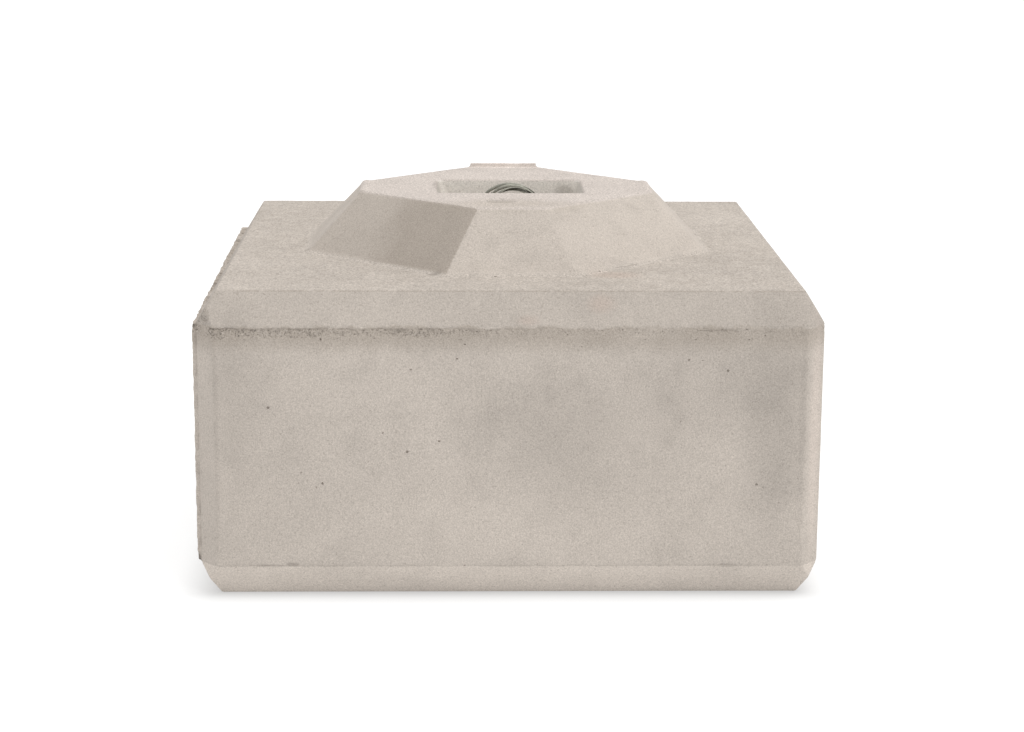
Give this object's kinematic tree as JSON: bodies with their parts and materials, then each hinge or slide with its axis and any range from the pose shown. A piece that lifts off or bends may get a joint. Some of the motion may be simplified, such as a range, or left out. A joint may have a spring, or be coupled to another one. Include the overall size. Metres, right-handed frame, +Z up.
{
  "type": "interlocking concrete block",
  "caption": "Stackable precast concrete ballast block with bevelled edges, an octagonal stud on top, a matching socket below and wire-rope lifting loops in a pocket in the stud.",
  "frame": {"origin": "on the ground under the centre of the stud and the socket; the spread left side moves the box's own centre 8 mm to the left of it", "axes": "+Z up, out of the stud; +X to the right along the long way of the lifting pocket; +Y from the front face to the back face"},
  "size_m": [1.216, 1.2, 0.727],
  "materials": {
    "concrete": "matt, sandy, as cast",
    "wire_rope": "dull galvanised",
    "ferrule": "pressed, satin",
    "anchor_bar": "mill scale with light rust",
    "tie_wire": "black annealed"
  },
  "bodies": {
    "block": {"concrete_block": "concrete", "rope_tail_outer": "wire_rope", "rope_tail_middle": "wire_rope", "rope_tail_inner": "wire_rope", "ferrule_outer": "ferrule", "ferrule_middle": "ferrule", "ferrule_inner": "ferrule", "anchor_bar_left": "anchor_bar", "anchor_bar_right": "anchor_bar", "tie_wires": "tie_wire"},
    "middle_loop": {"rope_arch_middle": "wire_rope"},
    "outer_loop": {"rope_arch_outer": "wire_rope"},
    "inner_loop": {"rope_arch_inner": "wire_rope"}
  },
  "joints": [
    {"name": "loop_lean", "type": "hinge", "parent": "block", "child": "middle_loop", "pos_m": [0.0125, 0, 0.608], "axis": [-1, 0, 0], "range_deg": [-36, 26]},
    {"name": "outer_fan", "type": "hinge", "parent": "middle_loop", "child": "outer_loop", "pos_m": [0.008, 0, 0.608], "axis": [-1, 0, 0], "range_deg": [-2, 5]},
    {"name": "inner_fan", "type": "hinge", "parent": "middle_loop", "child": "inner_loop", "pos_m": [0.017, 0, 0.608], "axis": [-1, 0, 0], "range_deg": [-6, 2]}
  ]
}
